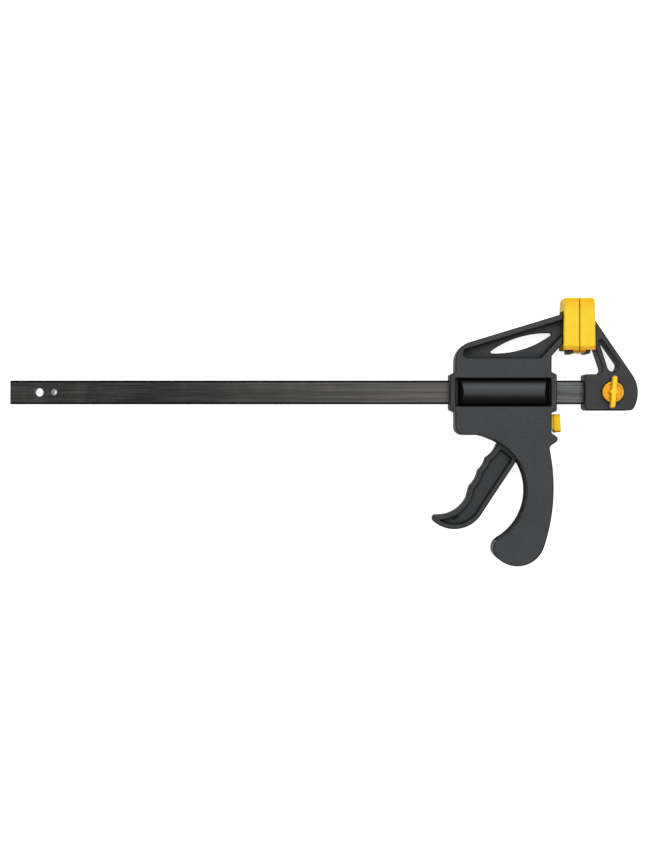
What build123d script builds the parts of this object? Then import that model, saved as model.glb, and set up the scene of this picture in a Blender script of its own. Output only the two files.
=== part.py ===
from build123d import *
import os
from math import acos, atan2, cos, degrees, hypot, pi, radians, sin, sqrt, tan

# Quick release bar clamp of the 300 mm class, lying on its side, in millimetres.
#
# While it is built, X runs along the bar from 0 at the plane where the closed pads meet,
# positive into the fixed jaw. Y runs from the bar's axis towards the pads. Z runs through the
# thickness from 0 at the parting plane of the head. At the end every piece is moved so that the
# origin is at the bottom centre of the whole clamp.

# ---- Bar ----
BAR_HEIGHT = 18.0
BAR_THICKNESS = 5.0
BAR_CHAMFER = 0.4
BAR_REACH = 430.0  # free end to the plane of the closed pads
BAR_PAST_STUD = 10.0  # end of the bar beyond the wing stud, inside the fixed jaw
END_HOLE_R = 3.15
END_HOLE_INSET = 22.0  # free end to the centre of the plain hole
PIN_SPACING = 12.0  # plain hole to roll pin, the same at both ends
PIN_R = 2.4
PIN_WALL = 0.8
PIN_SLIT = 0.7
PIN_PROUD = 3.9  # how far a roll pin stands out of each side of the bar

# ---- Clearances ----
SLIDE_FIT = 0.15  # bar in the slots of the head
JAW_FIT = 0.10  # bar in the socket of the fixed jaw
SHAFT_FIT = 0.05  # turning shafts, radial
THREAD_FIT = 0.05  # stud in nut and screw in boss, radial
PLATE_PLAY = 0.6  # height of a plate's slot over the bar's
RUN_GAP = 0.3  # moving pieces beside their neighbours
PAD_GAP = 0.4  # between the closed pads
PAD_FIT = 0.1  # flange of a pad beside its jaw

# ---- Head, outside ----
HEAD_LENGTH = 72.4
HEAD_SETBACK = 20.9  # right wall of the head to the plane of the closed pads
HEAD_HALF = 12.5  # half the thickness of the head
WALL = 2.5
EDGE_ROUND = 0.8
HEAD_CORE_TOP = 25.9  # floor of the arm's pocket above the bar's axis
HEEL_ROUND = 6.0
CHIN_DROP = 32.3  # flat underside of the head, in front of the grip
CHIN_ROUND = 12.0
BOSS_LEFT_PROUD = 4.05
BOSS_RIGHT_PROUD = 3.95
BOSS_HALF = 13.15
BOSS_FLARE = 2.1  # widening of a boss towards the wall it stands on
BOSS_RIGHT_DROP = 14.2  # lower end of the right boss, below the axis
BOSS_LOW_FLARE = 1.47  # and its widening there

# ---- Pistol grip ----
GRIP_UPPER = (64.25, 75.6, 44.3)  # hollow that the fingers fill: centre behind the right wall
GRIP_LOWER = (60.4, 74.36, 41.7)  # and below the bar, and radius, of its upper and lower arcs
BUTT = (25.72, 109.97, 21.23)
NOSE_ROUND = 8.8
SPINE_R = 141.0
SPINE_TOP = (1.85, 41.0)  # where the spine and the underside of the spur meet
SPUR_TOP = 30.95  # root of the spur's upper side
SPUR_TIP = (7.1, 35.5)  # past the right wall and below the axis, before it is rounded
SPUR_ROUND = 2.8
SPUR_BLEND = 3.7

# ---- Arm of the head ----
ARM_LOW_TOP = 34.45  # height of the arm's top edge at the left wall
ARM_TIP_TOP = 61.3  # and at the jaw tip
ARM_CORNER_R = 15.0
ARM_ROOT = 27.2  # right wall of the head turns into the arm at this height
ARM_UNDER_SLOPE = 47.2
ARM_RIM = 4.2
ARM_WEB_HALF = 2.5
POCKET_ROUND = 2.5
POCKET_INSET = 6.0  # pocket's left end behind the left wall
POCKET_KNEE = 1.15  # where its lower edge turns up, ahead of the right wall's own rim
POCKET_EASE = 1.0
POCKET_END = (5.0, 0.6)  # last bit of its lower edge: length, rise
LENS_LEFT = (25.5, 29.6)  # tips of the lens-shaped opening: x past the left wall, y over the bar
LENS_RIGHT = (75.1, 44.8)
LENS_SAGITTA = 4.78
LENS_TIP_R = 1.0

# ---- Jaw tips and pads ----
TIP_BOTTOM = 28.98
TIP_ROUND = 1.1
TIP_HALF = 11.0  # half the thickness of a jaw tip under its pad, and of the fixed jaw
JAW_PLATE = 3.6
PAD_WALL = 4.5
PAD_DEPTH = (11.4, 12.1)  # from the clamping face back, at the top and at the bottom
PAD_FLANGE = 2.4
PAD_TOP = 71.4
PAD_BOTTOM = 29.85
PAD_FLANGE_LIFT = 1.9
PAD_TOP_ROUND = 5.5  # of the shoulders, seen along the bar
PAD_LOW_ROUND = 3.0
PAD_BACK_ROUND = 1.8
PAD_FACE_ROUND = 1.0
TIP_STEP = 0.5  # the arm narrows this far behind the pad

# ---- Barrel and what runs in it ----
BARREL_R = 12.5
BARREL_BORE_R = 11.25
WINDOW_HALF = 10.6
WINDOW_FLOOR = 6.0
WINDOW_START = 0.0  # left end of the window from the left wall
WINDOW_END = 0.35  # right end of the window behind the right wall
CREST_START = 6.15
CREST_END = 5.15
CREST_RAKE = 31.0  # lean of the barrel's ends, in degrees
BORE_START = 7.0
BORE_END = 10.4
SPRING_WIRE = 1.4
SPRING_OUTER_R = 10.9
SPRING_TURNS = 8.5
SPRING_WASHER = 1.0
PLATE_R = 10.9
DRIVE_PLATE = 3.0
DRIVE_LEAN = 3.0  # degrees
DRIVE_NECK_HALF = 3.6
DRIVE_FOOT_HALF = 6.0
DRIVE_FOOT_TOP = 12.5
DRIVE_FOOT_BOTTOM = 18.8
CHAMBER_TOP = 12.0  # roof of the room under the bar, and floor of the room over it

# ---- Trigger ----
TRIGGER_HALF = 7.5
TRIGGER_SWING = 17.0  # degrees
TRIGGER_RIM = 3.7
TRIGGER_WEB_HALF = 3.2
TRIGGER_ROUND = 1.0
MOUTH_GAP = 2.2  # opening of the grip in front of the trigger
MOUTH_END = -63.0  # lower end of that opening, in degrees about the lower hollow's centre
PIVOT_BACK = 22.3  # pivot behind the right wall
PIVOT_DROP = 30.2  # pivot below the bar's axis
PIVOT_PIN_R = 2.5
LOBE_RISE = 13.6  # nose of the lobe over the pivot
LOBE_R = 2.6
PIN_BOSS_R = 5.2
PIN_SEAT = 1.0  # depth of a trigger pin's end in the wall
FINGER_LINE = (  # finger side, from the head to the toe: back from the pivot, below it
    (18.5, 9.6),
    (26.9, 19.2),
    (32.6, 28.6),
    (38.9, 40.3),
    (41.3, 49.2),
)
SCALLOP_DEPTH = (1.2, 1.1, 1.3)
BUMP_ROUND = 1.15
TOE_HOLLOW_R = 23.4
TOE_TOP = (60.4, 62.3)  # the rest of the outline, in the same way
TOE_TIP = (67.5, 62.6)
TOE_LOW = (66.8, 66.9)
BACK_LOW = (29.2, 60.6)
BACK_TOP = (-5.7, 7.7)
TOE_ROUND = 2.4
SOLE_R = 24.2
HEAD_SHOULDER = (14.3, 1.7)
SHOULDER_ROUND = 3.5
POCKET_CORNER = 1.4
LOBE_BACK = 1.1  # nose of the lobe behind the pivot
POCKET_TOP = (17.6, 10.9, 6.3, 20.2)  # upper end of the side recess: two points, back and down

# ---- Brake and release ----
BRAKE_PLATE = 2.0
BRAKE_HALF = 4.6
BRAKE_TOP = 11.7
BRAKE_LOW = 27.0  # lower end of the brake plate, below the bar's axis
BRAKE_LEAN = 5.0  # at rest, in degrees
FULCRUM_BACK = 6.0  # fulcrum behind the right wall
FULCRUM_RISE = 10.6
CAP_THICKNESS = 5.15
CAP_GAP = 2.4  # yellow cap from the right wall, at its middle
CAP_TOP = 16.5
CAP_BOTTOM = 30.4
CAP_HALF = 6.6
CAP_LEAN = 3.2  # degrees
CAP_CORNER = 2.0
CAP_ROUND = 0.6
NECK_TOP = 17.2  # neck of the cap, where it goes through the right wall
NECK_BOTTOM = 28.5
NECK_REACH = 6.9  # how far it goes in from the face of the wall
NECK_SIDE = 1.0  # plastic beside the brake plate
NECK_DIP = 0.4  # how far the neck goes down when the cap is pressed
BRAKE_SPRING_R = 1.7
BRAKE_SPRING_WIRE = 0.4
BRAKE_SPRING_TURNS = 4.5
BRAKE_SPRING_DROP = 11.3
BRAKE_SPRING_SEAT = 2.3  # depth of the spring's seat in the wall behind the brake plate
BRAKE_SPRING_WALL = 1.5

# ---- Fixed jaw and wing screw ----
JAW_SETBACK = 4.2
JAW_STEP = 13.5  # top of the block that holds the bar, over the bar's axis
JAW_LOW = 13.8  # and its underside, below the axis
JAW_HEEL_R = 24.0
JAW_HEEL_X = 20.35
JAW_HEEL_DROP = 0.35  # centre of the round heel below the axis
JAW_TIP_WIDTH = 2.5  # top of the jaw's tip
JAW_FOOT_SLOPE = 26.0  # of the lower right edge from upright, in degrees
JAW_FOOT_ROUND = 4.0
JAW_CORNER_ROUND = 2.8
JAW_STEP_ROUND = 1.2
JAW_THROAT = (13.2, 30.9, 17.45, 18.1)  # two points on the inner edge of the jaw
JAW_THROAT_ROUND = 3.6
DROP_TOP = (16.3, 38.45, 1.35)  # teardrop window: centre and radius of each end
DROP_LOW = (25.55, 19.95, 4.6)
STUD_X = 24.95
STUD_R = 3.0
STUD_TANG_R = 1.6  # slimmer end of the stud, inside the wing
STUD_TANG = 3.6
STUD_COVER = 0.8  # knob over the stud's shoulder
STUD_TIP = 0.7  # end of the stud inside the rear face
NUT_AF = 10.0
NUT_HEIGHT = 5.0
NUT_INSET = 0.6
WASHER_R = 6.0
WASHER_THICKNESS = 1.0
KNOB_R = 7.9
KNOB_HEIGHT = 4.2
KNOB_RIM = 1.3
KNOB_DISH = 1.0
WING_LENGTH = 24.4
WING_WIDTH = 3.7
HUB_SIDE = 6.36  # square block in the middle of the wing
HUB_TOP = 4.6  # the same block where it is narrowest, at its top
HUB_PROUD = 0.3  # its top above the wing's
WING_TOP = 8.2
WING_LIFT = 2.0
WING_TILT = 4.4  # degrees

# ---- Shell screws ----
SCREW_R = 1.45
SCREW_HEAD_R = 2.9
SCREW_HEAD = 2.0
SCREW_SINK = 4.0
SCREW_DEPTH = 8.0  # how far a screw reaches into the front shell
SCREW_BOSS_R = 3.6
SCREW_PLACES = (  # behind the right wall, above the bar
    (63.75, 17.6),
    (11.25, 17.6),
    (64.25, -24.0),
    (8.25, -62.0),
    (25.75, -112.0),
)

LEFT = -HEAD_SETBACK - HEAD_LENGTH
RIGHT = -HEAD_SETBACK
PIVOT = (RIGHT - PIVOT_BACK, -PIVOT_DROP)
FACE = PAD_GAP / 2
PLATE_FRONT = FACE + PAD_WALL
PLATE_BACK = PLATE_FRONT + JAW_PLATE
PAD_BACK = FACE + PAD_DEPTH[1]
PAD_HALF = TIP_HALF + PAD_FIT + PAD_FLANGE
PIN_HOLE_R = PIN_R
BAR_END = STUD_X + BAR_PAST_STUD
STOP_PIN_X = -BAR_REACH + END_HOLE_INSET + PIN_SPACING
JAW_PIN_X = STUD_X - PIN_SPACING
FULCRUM = (RIGHT - FULCRUM_BACK, FULCRUM_RISE)
INNER_HALF = HEAD_HALF - WALL
CAP_CENTRE = (RIGHT + CAP_GAP + CAP_THICKNESS / 2, -(CAP_TOP + CAP_BOTTOM) / 2)
BRAKE_BACK = FULCRUM[0] - BRAKE_PLATE - RUN_GAP
SPRING_SEAT = LEFT + BORE_START
LOBE = (PIVOT[0] - LOBE_BACK, PIVOT[1] + LOBE_RISE)
DRIVE_X = (LOBE[0] - LOBE_R - RUN_GAP - DRIVE_PLATE / 2 / cos(radians(DRIVE_LEAN))
           - LOBE[1] * tan(radians(DRIVE_LEAN)))
DRIVE_TRAVEL = (LOBE_RISE * sin(radians(TRIGGER_SWING))
                - LOBE_BACK * (1 - cos(radians(TRIGGER_SWING))))


# ---- Shared shapes ----
def profile(*corners):
    """Closed face through corners (x, y, bend, rounding), anticlockwise.

    bend is the radius of the edge that leaves the corner: 0 is straight, positive bulges out of
    the face and negative is hollow. rounding is the fillet at the corner itself.
    """
    edges = []
    for here, there in zip(corners, corners[1:] + corners[:1]):
        start, end, bend = here[:2], there[:2], here[2]
        edges.append(RadiusArc(start, end, -bend) if bend else Line(start, end))
    face = make_face(edges).face()
    for x, y, _, rounding in corners:
        if rounding:
            corner = face.vertices().sort_by_distance((x, y, 0))[0]
            face = face.fillet_2d(rounding, [corner])
    return face


def slab(face, low, high):
    """The face, which lies in the XY plane, made solid from height low to height high."""
    return Pos(0, 0, low) * extrude(face, high - low, dir=(0, 0, 1))


def block(x0, x1, y0, y1, z0, z1):
    """Box between two corners."""
    return Pos((x0 + x1) / 2, (y0 + y1) / 2, (z0 + z1) / 2) * Box(x1 - x0, y1 - y0, z1 - z0)


def rod(x, y, radius, z0, z1):
    """Cylinder along Z."""
    return Pos(x, y, (z0 + z1) / 2) * Cylinder(radius, z1 - z0)


def rod_x(radius, x0, x1, y=0.0):
    """Cylinder along X."""
    return Pos((x0 + x1) / 2, y, 0) * Rot(0, 90, 0) * Cylinder(radius, x1 - x0)


def bar_slot(x0, x1, fit):
    """Room for the bar from x0 to x1, with a clearance all round."""
    return block(x0, x1, -BAR_HEIGHT / 2 - fit, BAR_HEIGHT / 2 + fit,
                 -BAR_THICKNESS / 2 - fit, BAR_THICKNESS / 2 + fit)


def coil(radius, wire, turns, x0, x1, y=0.0):
    """Compression spring along X, between two flat seats."""
    pitch = (x1 - x0 - wire) / turns
    path = Helix(pitch, pitch * turns, radius)
    section = Plane(path @ 0, z_dir=path % 0) * Circle(wire / 2)
    return Pos(x0 + wire / 2, y, 0) * Rot(0, 90, 0) * sweep(section, path, is_frenet=True)


def top_edges(solid, height):
    """Edges of the outline of the flat face at a height."""
    return solid.faces().filter_by(Plane.XY).filter_by_position(
        Axis.Z, height - 0.01, height + 0.01).sort_by(SortBy.AREA)[-1].outer_wire().edges()


# ---- Bar and roll pins ----
def make_bar():
    bar = block(-BAR_REACH, BAR_END, -BAR_HEIGHT / 2, BAR_HEIGHT / 2,
                -BAR_THICKNESS / 2, BAR_THICKNESS / 2)
    bar = chamfer(bar.edges().filter_by(Axis.X), BAR_CHAMFER)
    for x, radius in ((-BAR_REACH + END_HOLE_INSET, END_HOLE_R), (STUD_X, END_HOLE_R),
                      (STOP_PIN_X, PIN_HOLE_R), (JAW_PIN_X, PIN_HOLE_R)):
        bar -= rod(x, 0, radius, -BAR_THICKNESS, BAR_THICKNESS)
    return bar


def make_roll_pin(x):
    half = BAR_THICKNESS / 2 + PIN_PROUD
    pin = rod(0, 0, PIN_R, -half, half)
    pin = chamfer(pin.edges().filter_by(GeomType.CIRCLE), PIN_WALL / 2)
    pin -= rod(0, 0, PIN_R - PIN_WALL, -half, half)
    pin -= block(0, PIN_R + 1, -PIN_SLIT / 2, PIN_SLIT / 2, -half, half)
    return Pos(x, 0, 0) * Rot(0, 0, 35) * pin


# ---- Head ----
def behind(spot):
    """Point given as distances behind the right wall and below the bar."""
    return (RIGHT - spot[0], -spot[1])


def on_circle(circle, angle):
    """Point of a circle (centre behind the right wall and below the bar, radius)."""
    x, y = behind(circle)
    return (x + circle[2] * cos(radians(angle)), y + circle[2] * sin(radians(angle)))


def crossing(first, second, side):
    """Where two such circles cross, on the left (1) or right (-1) of the way to the second."""
    (x0, y0), (x1, y1) = behind(first), behind(second)
    gap = hypot(x1 - x0, y1 - y0)
    along = (first[2] ** 2 - second[2] ** 2 + gap**2) / (2 * gap)
    across = side * sqrt(first[2] ** 2 - along**2)
    ux, uy = (x1 - x0) / gap, (y1 - y0) / gap
    return (x0 + along * ux - across * uy, y0 + along * uy + across * ux)


def spine_centre():
    """Centre of the arc up the spine, which leaves the butt smoothly."""
    return crossing((BUTT[0], BUTT[1], SPINE_R - BUTT[2]), (*SPINE_TOP, SPINE_R), 1)


def from_spine(spot, out):
    """Point that lies a distance outwards from a spot, along the line from the spine's centre."""
    x, y = behind(spot)
    dx, dy = x - spine_centre()[0], y - spine_centre()[1]
    return (x + dx * out / hypot(dx, dy), y + dy * out / hypot(dx, dy))


def circle_at(circle, x):
    """Point at x on the upper side of such a circle."""
    cx, cy = behind(circle)
    return (x, cy + sqrt(circle[2] ** 2 - (x - cx) ** 2))


def core_profile(spur=(), inset=0.0):
    """Body and pistol grip without bosses or arm, a distance inside its own outline.

    The spur is left out unless its corners are given.
    """
    upper, lower = [(x, y, radius + inset) for x, y, radius in (GRIP_UPPER, GRIP_LOWER)]
    butt = (BUTT[0], BUTT[1], BUTT[2] - inset)
    chin = inset - CHIN_DROP
    chin_end = behind(upper)[0] + sqrt(upper[2] ** 2 - (upper[1] + chin) ** 2)
    top = HEAD_CORE_TOP - inset
    return profile(
        (LEFT + inset + WALL, top, 0, 0),
        (LEFT + inset, top - 2 * WALL, 0, 0),
        (LEFT + inset, chin, 0, HEEL_ROUND - inset),
        (chin_end, chin, -upper[2], CHIN_ROUND + inset),
        (*crossing(upper, lower, 1), -lower[2], 0),
        (*crossing(lower, butt, -1), butt[2], NOSE_ROUND - inset),
        (*on_circle(butt, 270), butt[2], 0),
        (*from_spine(BUTT, butt[2]), SPINE_R - inset, 0),
        (*from_spine(SPINE_TOP, -inset), 0, SPUR_BLEND if spur else 0),
        *spur,
        (RIGHT - inset, -SPUR_TOP, 0, 0),
        (RIGHT - inset, top, 0, 0),
    )


def arm_slope():
    """Slope of the arm's top edge, in radians."""
    return atan2(ARM_TIP_TOP - ARM_LOW_TOP, -PLATE_FRONT - LEFT)


def arm_top(x):
    """Height of the arm's top edge at x."""
    return ARM_TIP_TOP + (x + PLATE_FRONT) * tan(arm_slope())


def arm_profile():
    """Arm and jaw tip of the head."""
    under = tan(radians(ARM_UNDER_SLOPE))
    return profile(
        (LEFT, HEAD_CORE_TOP - 3 * WALL, 0, 0),
        (RIGHT, HEAD_CORE_TOP - 3 * WALL, 0, 0),
        (RIGHT, ARM_ROOT, 0, 1.0),
        (-PLATE_BACK, ARM_ROOT + under * (-PLATE_BACK - RIGHT), 0, 1.0),
        (-PLATE_BACK, TIP_BOTTOM, 0, TIP_ROUND),
        (-PLATE_FRONT, TIP_BOTTOM, 0, 0),
        (-PLATE_FRONT, ARM_TIP_TOP, 0, 0),
        (LEFT, arm_top(LEFT), 0, ARM_CORNER_R),
    )


def head_profile():
    left_boss = profile(
        (LEFT + WALL, -BOSS_HALF - BOSS_FLARE, 0, 0),
        (LEFT + WALL, BOSS_HALF + BOSS_FLARE, 0, 0),
        (LEFT, BOSS_HALF + BOSS_FLARE, 0, 0),
        (LEFT - BOSS_LEFT_PROUD, BOSS_HALF, 0, 1.0),
        (LEFT - BOSS_LEFT_PROUD, -BOSS_HALF, 0, 1.0),
        (LEFT, -BOSS_HALF - BOSS_FLARE, 0, 0),
    )
    right_boss = profile(
        (RIGHT - WALL, -BOSS_RIGHT_DROP - BOSS_LOW_FLARE, 0, 0),
        (RIGHT, -BOSS_RIGHT_DROP - BOSS_LOW_FLARE, 0, 0),
        (RIGHT + BOSS_RIGHT_PROUD, -BOSS_RIGHT_DROP, 0, 1.0),
        (RIGHT + BOSS_RIGHT_PROUD, BOSS_HALF, 0, 1.0),
        (RIGHT, BOSS_HALF + BOSS_FLARE, 0, 0),
        (RIGHT - WALL, BOSS_HALF + BOSS_FLARE, 0, 0),
    )
    spur = (RIGHT + SPUR_TIP[0], -SPUR_TIP[1], 0, SPUR_ROUND)
    whole = core_profile([spur]) + arm_profile() + left_boss + right_boss
    return whole.clean().face()


def lens_profile():
    """Opening in the web of the arm: two shallow arcs that meet in small round tips."""
    left = (LEFT + LENS_LEFT[0], LENS_LEFT[1])
    right = (LEFT + LENS_RIGHT[0], LENS_RIGHT[1])
    half = hypot(right[0] - left[0], right[1] - left[1]) / 2
    radius = (half**2 + LENS_SAGITTA**2) / (2 * LENS_SAGITTA)
    return profile((*left, radius, LENS_TIP_R), (*right, radius, LENS_TIP_R))


def pocket_profile():
    """Recess in each side of the arm, a rim's width inside its edges."""
    rise = ARM_RIM / cos(arm_slope())
    side = ARM_RIM / sin(radians(ARM_UNDER_SLOPE))
    under = tan(radians(ARM_UNDER_SLOPE))
    left = LEFT + POCKET_INSET
    knee = RIGHT - side - POCKET_KNEE
    end = -PLATE_BACK
    bend = end - POCKET_END[0]
    low = HEAD_CORE_TOP + under * (bend - knee + POCKET_EASE)
    return profile(
        (left, HEAD_CORE_TOP, 0, POCKET_ROUND),
        (knee - POCKET_EASE, HEAD_CORE_TOP, 0, POCKET_ROUND),
        (bend, low, 0, 2.0),
        (end, low + POCKET_END[1], 0, 0),
        (end, arm_top(end) - rise, 0, 0),
        (left, arm_top(left) - rise, 0, POCKET_ROUND * 1.3),
    )


def window_cut():
    """Recess in the front face that leaves the barrel standing, for z above 0."""
    start = LEFT + WINDOW_START
    end = RIGHT - WINDOW_END
    rake = tan(radians(CREST_RAKE))
    recess = block(start, end, -WINDOW_HALF, WINDOW_HALF, WINDOW_FLOOR, HEAD_HALF + 1)
    crest_left = LEFT + CREST_START
    crest_right = RIGHT - CREST_END
    barrel = rod_x(BARREL_R, crest_left - BARREL_R, crest_right + BARREL_R)
    ends = Plane.XZ * make_face(Polyline(
        (crest_left - rake * HEAD_HALF, 0), (crest_right + rake * HEAD_HALF, 0),
        (crest_right, HEAD_HALF), (crest_left, HEAD_HALF), close=True))
    barrel &= extrude(ends, 2 * BARREL_R, both=True)
    return recess - barrel


def inner_rooms():
    """Everything that is hollow in the front half of the head, apart from screw holes."""
    inset = core_profile(inset=WALL)
    wide = 4 * HEAD_LENGTH
    below = Rectangle(wide, wide, align=(Align.CENTER, Align.MAX))
    above = Rectangle(wide, HEAD_CORE_TOP - WALL - CHAMBER_TOP, align=(Align.CENTER, Align.MIN))
    lower = inset & Pos(0, -CHAMBER_TOP) * below
    upper = inset & Pos(0, CHAMBER_TOP) * above
    rooms = slab(lower.face(), 0, INNER_HALF) + slab(upper.face(), 0, INNER_HALF)
    rooms += rod_x(BARREL_BORE_R, LEFT + BORE_START, RIGHT - BORE_END)
    rooms += bar_slot(LEFT - BOSS_LEFT_PROUD - 1, RIGHT + BOSS_RIGHT_PROUD + 1, SLIDE_FIT)
    return rooms


def trigger_mouth():
    """Open front of the grip, where the trigger goes in: a band along the hollow."""
    start = PIVOT[0] - FINGER_LINE[0][0] - MOUTH_GAP
    band = 1.2 * WALL
    inner = [(x, y, radius - band) for x, y, radius in (GRIP_UPPER, GRIP_LOWER)]
    outer = [(x, y, radius + band) for x, y, radius in (GRIP_UPPER, GRIP_LOWER)]
    return profile(
        (*circle_at(outer[0], start), 0, 0),
        (*circle_at(inner[0], start), -inner[0][2], 0),
        (*crossing(*inner, 1), -inner[1][2], 0),
        (*on_circle(inner[1], MOUTH_END), 0, 0),
        (*on_circle(outer[1], MOUTH_END), outer[1][2], 0),
        (*crossing(*outer, 1), outer[0][2], 0),
    )


def brake_face(y):
    """X of the brake plate's right face, at rest, at a height."""
    return FULCRUM[0] + (FULCRUM[1] - y) * tan(radians(BRAKE_LEAN))


def brake_room():
    """Room for the brake plate behind the right wall, and the window for the cap's neck."""
    high = CHAMBER_TOP + 1
    face = make_face(Polyline(
        (BRAKE_BACK, high), (BRAKE_BACK, -high), (brake_face(-high) + RUN_GAP, -high),
        (brake_face(high) + RUN_GAP, high), close=True))
    room = slab(face, 0, BRAKE_HALF + RUN_GAP)
    return room + block(RIGHT - WALL - 1, RIGHT + 1, -NECK_BOTTOM - RUN_GAP - NECK_DIP,
                        -NECK_TOP + RUN_GAP, 0, BRAKE_HALF + NECK_SIDE + RUN_GAP)


def brake_spring_seat():
    """Block behind the brake plate that holds its spring."""
    deep = BRAKE_BACK - BRAKE_SPRING_SEAT
    reach = BRAKE_SPRING_R + RUN_GAP + BRAKE_SPRING_WALL
    return block(deep - BRAKE_SPRING_WALL, BRAKE_BACK, -BRAKE_SPRING_DROP - reach,
                 -CHAMBER_TOP + WALL, 0, BRAKE_HALF)


def drive_slot():
    """Gap in the floor of the barrel that the neck of the drive plate moves in."""
    lean = (DRIVE_PLATE + CHAMBER_TOP * tan(radians(DRIVE_LEAN))) / 2 + RUN_GAP
    middle = DRIVE_X - CHAMBER_TOP * tan(radians(DRIVE_LEAN))
    return block(middle - lean - DRIVE_TRAVEL, middle + lean, -CHAMBER_TOP - 1, 0,
                 0, DRIVE_NECK_HALF + RUN_GAP)


def screw_spots():
    return [(RIGHT - back, up) for back, up in SCREW_PLACES]


def half_shell():
    """Front half of the head, without its screw holes."""
    shell = slab(head_profile(), 0, HEAD_HALF)
    shell = fillet(top_edges(shell, HEAD_HALF), EDGE_ROUND)
    shell -= slab(pocket_profile(), ARM_WEB_HALF, HEAD_HALF + 1)
    shell -= slab(lens_profile(), -1, ARM_WEB_HALF + 1)
    shell -= block(-PAD_BACK - TIP_STEP, 0, 0, PAD_TOP, TIP_HALF, HEAD_HALF + 1)
    shell -= window_cut()
    shell -= inner_rooms()
    shell -= slab(trigger_mouth(), 0, INNER_HALF)
    shell += brake_spring_seat()
    for spot in screw_spots():
        shell += rod(*spot, SCREW_BOSS_R, 0, INNER_HALF)
    shell += rod(*PIVOT, PIN_BOSS_R, TRIGGER_HALF + RUN_GAP, INNER_HALF)
    shell -= rod(*PIVOT, PIVOT_PIN_R + SHAFT_FIT, 0, INNER_HALF + PIN_SEAT)
    shell -= brake_room()
    shell -= rod_x(BRAKE_SPRING_R + RUN_GAP, BRAKE_BACK - BRAKE_SPRING_SEAT, BRAKE_BACK,
                   -BRAKE_SPRING_DROP)
    shell -= drive_slot()
    return shell & block(LEFT - HEAD_LENGTH, 0, -HEAD_LENGTH * 3, PAD_TOP, 0, HEAD_HALF)


def make_front_shell(half):
    """Front half, with a blind pilot hole in each screw boss."""
    for spot in screw_spots():
        half -= rod(*spot, SCREW_R + THREAD_FIT, 0, SCREW_DEPTH + RUN_GAP)
    return half


def make_rear_shell(half):
    """Rear half, with a sunk clearance hole for each screw."""
    rear = mirror(half, about=Plane.XY)
    for spot in screw_spots():
        rear -= rod(*spot, SCREW_R + RUN_GAP, -HEAD_HALF, 0)
        rear -= rod(*spot, SCREW_HEAD_R + RUN_GAP, -HEAD_HALF - 1, SCREW_SINK - HEAD_HALF)
    return rear


def make_screws():
    """Identical self-tapping screws, put in from the rear."""
    seat = SCREW_SINK - HEAD_HALF
    head = rod(0, 0, SCREW_HEAD_R, seat - SCREW_HEAD, seat)
    head = fillet(head.edges().filter_by(GeomType.CIRCLE).sort_by(Axis.Z)[:1], SCREW_HEAD * 0.4)
    shank = rod(0, 0, SCREW_R, seat, SCREW_DEPTH)
    shank = chamfer(shank.edges().filter_by(GeomType.CIRCLE).sort_by(Axis.Z)[-1:], SCREW_R / 2)
    cross = (block(-SCREW_HEAD_R * 0.6, SCREW_HEAD_R * 0.6, -0.4, 0.4, seat - 3, seat - 0.9)
             + block(-0.4, 0.4, -SCREW_HEAD_R * 0.6, SCREW_HEAD_R * 0.6, seat - 3, seat - 0.9))
    screw = head + shank - cross
    return Compound(children=[Pos(*spot, 0) * screw for spot in screw_spots()])


# ---- Mechanism ----
def plate_blank(thickness, outline):
    """Plate across the bar, centred on it, with the slot that the bar runs in."""
    blank = extrude(Plane.YZ * outline, thickness / 2, both=True)
    slot = block(-thickness, thickness, -(BAR_HEIGHT + PLATE_PLAY) / 2,
                 (BAR_HEIGHT + PLATE_PLAY) / 2, -BAR_THICKNESS / 2 - SLIDE_FIT,
                 BAR_THICKNESS / 2 + SLIDE_FIT)
    return blank - slot


def make_drive_plate():
    """Keyhole plate: a disc in the barrel, and a foot below it that the trigger pushes."""
    disc = Circle(PLATE_R)
    neck = Pos(-DRIVE_FOOT_TOP / 2 - BAR_HEIGHT / 4, 0) * Rectangle(
        DRIVE_FOOT_TOP - BAR_HEIGHT / 2 + 3, 2 * DRIVE_NECK_HALF)
    height = DRIVE_FOOT_BOTTOM - DRIVE_FOOT_TOP
    foot = Pos(-DRIVE_FOOT_BOTTOM + height / 2, 0) * RectangleRounded(
        height, 2 * DRIVE_FOOT_HALF, 1.0)
    plate = plate_blank(DRIVE_PLATE, disc + neck + foot)
    return Pos(DRIVE_X, 0, 0) * Rot(0, 0, -DRIVE_LEAN) * plate


def make_spring_washer():
    washer = plate_blank(SPRING_WASHER, Circle(PLATE_R))
    return Pos(SPRING_SEAT + SPRING_WASHER / 2, 0, 0) * washer


def make_drive_spring():
    start = SPRING_SEAT + SPRING_WASHER + 0.05
    end = (DRIVE_X - DRIVE_PLATE / 2 / cos(radians(DRIVE_LEAN))
           - SPRING_OUTER_R * tan(radians(DRIVE_LEAN)) - 0.1)
    return coil(SPRING_OUTER_R - SPRING_WIRE / 2, SPRING_WIRE, SPRING_TURNS, start, end)


def make_brake_plate():
    """Plate behind the right wall: it leans, and its tail is inside the neck of the cap."""
    wide = BRAKE_PLATE / cos(radians(BRAKE_LEAN))
    side = make_face(Polyline(
        (brake_face(BRAKE_TOP) - wide, BRAKE_TOP), (brake_face(-BRAKE_LOW) - wide, -BRAKE_LOW),
        (brake_face(-BRAKE_LOW), -BRAKE_LOW), (brake_face(BRAKE_TOP), BRAKE_TOP), close=True))
    plate = slab(side, -BRAKE_HALF, BRAKE_HALF)
    slot = Box(3 * BRAKE_PLATE, BAR_HEIGHT + PLATE_PLAY, BAR_THICKNESS + 2 * SLIDE_FIT)
    return plate - Pos(brake_face(0) - wide / 2, 0, 0) * Rot(0, 0, BRAKE_LEAN) * slot


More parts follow.
